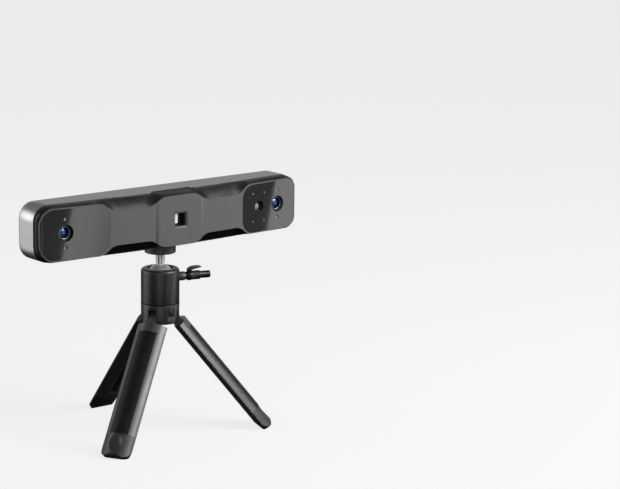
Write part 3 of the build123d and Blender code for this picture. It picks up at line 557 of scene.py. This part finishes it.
world = bpy.data.worlds.new("studio")
bpy.context.scene.world = world
world.use_nodes = True
wt = world.node_tree
wt.nodes.clear()
wo = wt.nodes.new("ShaderNodeOutputWorld")
pale = wt.nodes.new("ShaderNodeBackground")
pale.inputs["Color"].default_value = (1, 1, 1, 1)
pale.inputs["Strength"].default_value = 0.896
room = wt.nodes.new("ShaderNodeBackground")
room.inputs["Strength"].default_value = 1.0
tc = wt.nodes.new("ShaderNodeTexCoord")
sx = wt.nodes.new("ShaderNodeSeparateXYZ")
wt.links.new(tc.outputs["Generated"], sx.inputs[0])
mr = wt.nodes.new("ShaderNodeMapRange")
mr.inputs["From Min"].default_value = -1.0
mr.inputs["From Max"].default_value = 1.0
wt.links.new(sx.outputs["Z"], mr.inputs["Value"])
cr = wt.nodes.new("ShaderNodeValToRGB")
for _ in range(len(WORLD_STOPS) - 2):
    cr.color_ramp.elements.new(0.5)
for el, (zz, v) in zip(cr.color_ramp.elements, WORLD_STOPS):
    el.position = (zz + 1) / 2
    el.color = (v, v, v, 1.0)
wt.links.new(mr.outputs[0], cr.inputs[0])
wt.links.new(cr.outputs[0], room.inputs["Color"])
lp = wt.nodes.new("ShaderNodeLightPath")
mxs = wt.nodes.new("ShaderNodeMixShader")
wt.links.new(lp.outputs["Is Camera Ray"], mxs.inputs[0])
wt.links.new(room.outputs[0], mxs.inputs[1])
wt.links.new(pale.outputs[0], mxs.inputs[2])
wt.links.new(mxs.outputs[0], wo.inputs[0])

P0 = Vector((0.0, SH, 0.19))


def toward(az, el, dist, centre_=P0):
    a_, e_ = math.radians(az), math.radians(el)
    return centre_ + Vector((math.sin(a_) * math.cos(e_), -math.cos(a_) * math.cos(e_), math.sin(e_))) * dist


def area(name, az, el, dist, w, h, radiance, spread=180.0, look=P0):
    """Soft box: azimuth from -Y towards +X, degrees."""
    d = bpy.data.lights.new(name, "AREA")
    d.shape = "RECTANGLE"
    d.size, d.size_y = w, h
    d.energy = radiance * math.pi * w * h
    d.spread = math.radians(spread)
    o = bpy.data.objects.new(name, d)
    bpy.context.scene.collection.objects.link(o)
    o.location = toward(az, el, dist, look)
    o.rotation_mode = "QUATERNION"
    o.rotation_quaternion = (look - o.location).to_track_quat("-Z", "Y")
    o.visible_camera = False
    return o


def card(name, az0, az1, el0, el1, dist, stops, slant=0.0, centre_=P0, vfade=0.15):
    """Reflector card seen only in reflections; brightness runs with azimuth.

    stops: (0..1 across the card, radiance)."""
    nu, nv = 24, 8
    verts, faces, uvs = [], [], []
    for jv in range(nv + 1):
        for iu in range(nu + 1):
            fu, fv = iu / nu, jv / nv
            el_ = el0 + (el1 - el0) * fv
            az_ = az0 + (az1 - az0) * fu + slant * (el_ - (el0 + el1) / 2)
            verts.append(toward(az_, el_, dist, centre_))
            uvs.append((fu, fv))
    for jv in range(nv):
        for iu in range(nu):
            a_ = jv * (nu + 1) + iu
            faces.append((a_, a_ + 1, a_ + nu + 2, a_ + nu + 1))
    me = bpy.data.meshes.new(name)
    me.from_pydata([tuple(v) for v in verts], [], faces)
    uv = me.uv_layers.new(name="UVMap")
    for poly in me.polygons:
        for li in poly.loop_indices:
            uv.data[li].uv = uvs[me.loops[li].vertex_index]
    o = bpy.data.objects.new(name, me)
    bpy.context.scene.collection.objects.link(o)
    mt = bpy.data.materials.new(name)
    mt.use_nodes = True
    t_ = mt.node_tree
    t_.nodes.clear()
    out = t_.nodes.new("ShaderNodeOutputMaterial")
    em = t_.nodes.new("ShaderNodeEmission")
    tc_ = t_.nodes.new("ShaderNodeTexCoord")
    sp = t_.nodes.new("ShaderNodeSeparateXYZ")
    rp = t_.nodes.new("ShaderNodeValToRGB")
    top = max(v for _, v in stops)
    while len(rp.color_ramp.elements) < len(stops):
        rp.color_ramp.elements.new(0.5)
    for el_, (pos, v) in zip(rp.color_ramp.elements, stops):
        el_.position = pos
        el_.color = (v / top, v / top, v / top, 1)
    t_.links.new(tc_.outputs["UV"], sp.inputs[0])
    t_.links.new(sp.outputs["X"], rp.inputs[0])
    t_.links.new(rp.outputs[0], em.inputs["Color"])
    em.inputs["Strength"].default_value = top
    t_.links.new(em.outputs[0], out.inputs[0])
    me.materials.append(mt)
    for flag in ("visible_camera", "visible_diffuse", "visible_transmission", "visible_volume_scatter", "visible_shadow"):
        setattr(o, flag, False)
    return o


area("key_right", 36, 33, 1.7, 1.15, 0.85, KEY_R)
area("left_back", -128, 14, 1.6, 0.9, 1.0, KEY_L)
area("front_fill", -20, 40, 2.2, 1.2, 0.9, KEY_F)
card("card_left_window", 21.3, 34.0, -26, 8, 7.0, [(0.0, CARD_A), (0.25, CARD_A * 0.92), (0.6, CARD_A * 0.5), (1.0, CARD_A * 0.2)], slant=0.95)
card("card_right_window", 53.2, 76.0, -26, 8, 7.0, [(0.0, CARD_B), (0.4, CARD_B * 0.9), (1.0, CARD_B * 0.55)], slant=0.95)

card("card_left_side", -158, -100, -32, 30, 3.0, [(0.0, 0.25), (0.3, 0.78), (0.7, 0.78), (1.0, 0.2)])
card("card_high_right", 66, 120, 42, 68, 3.0, [(0.0, 0.2), (0.35, 0.9), (0.65, 0.9), (1.0, 0.2)])
card("card_neck", -56, -16, -26, 2, 3.0, [(0.0, 0.2), (0.3, 0.6), (0.7, 0.6), (1.0, 0.2)])

vs = bpy.context.scene.view_settings
vs.view_transform = "Standard"
vs.look = "None"
bpy.context.scene.cycles.use_denoising = True
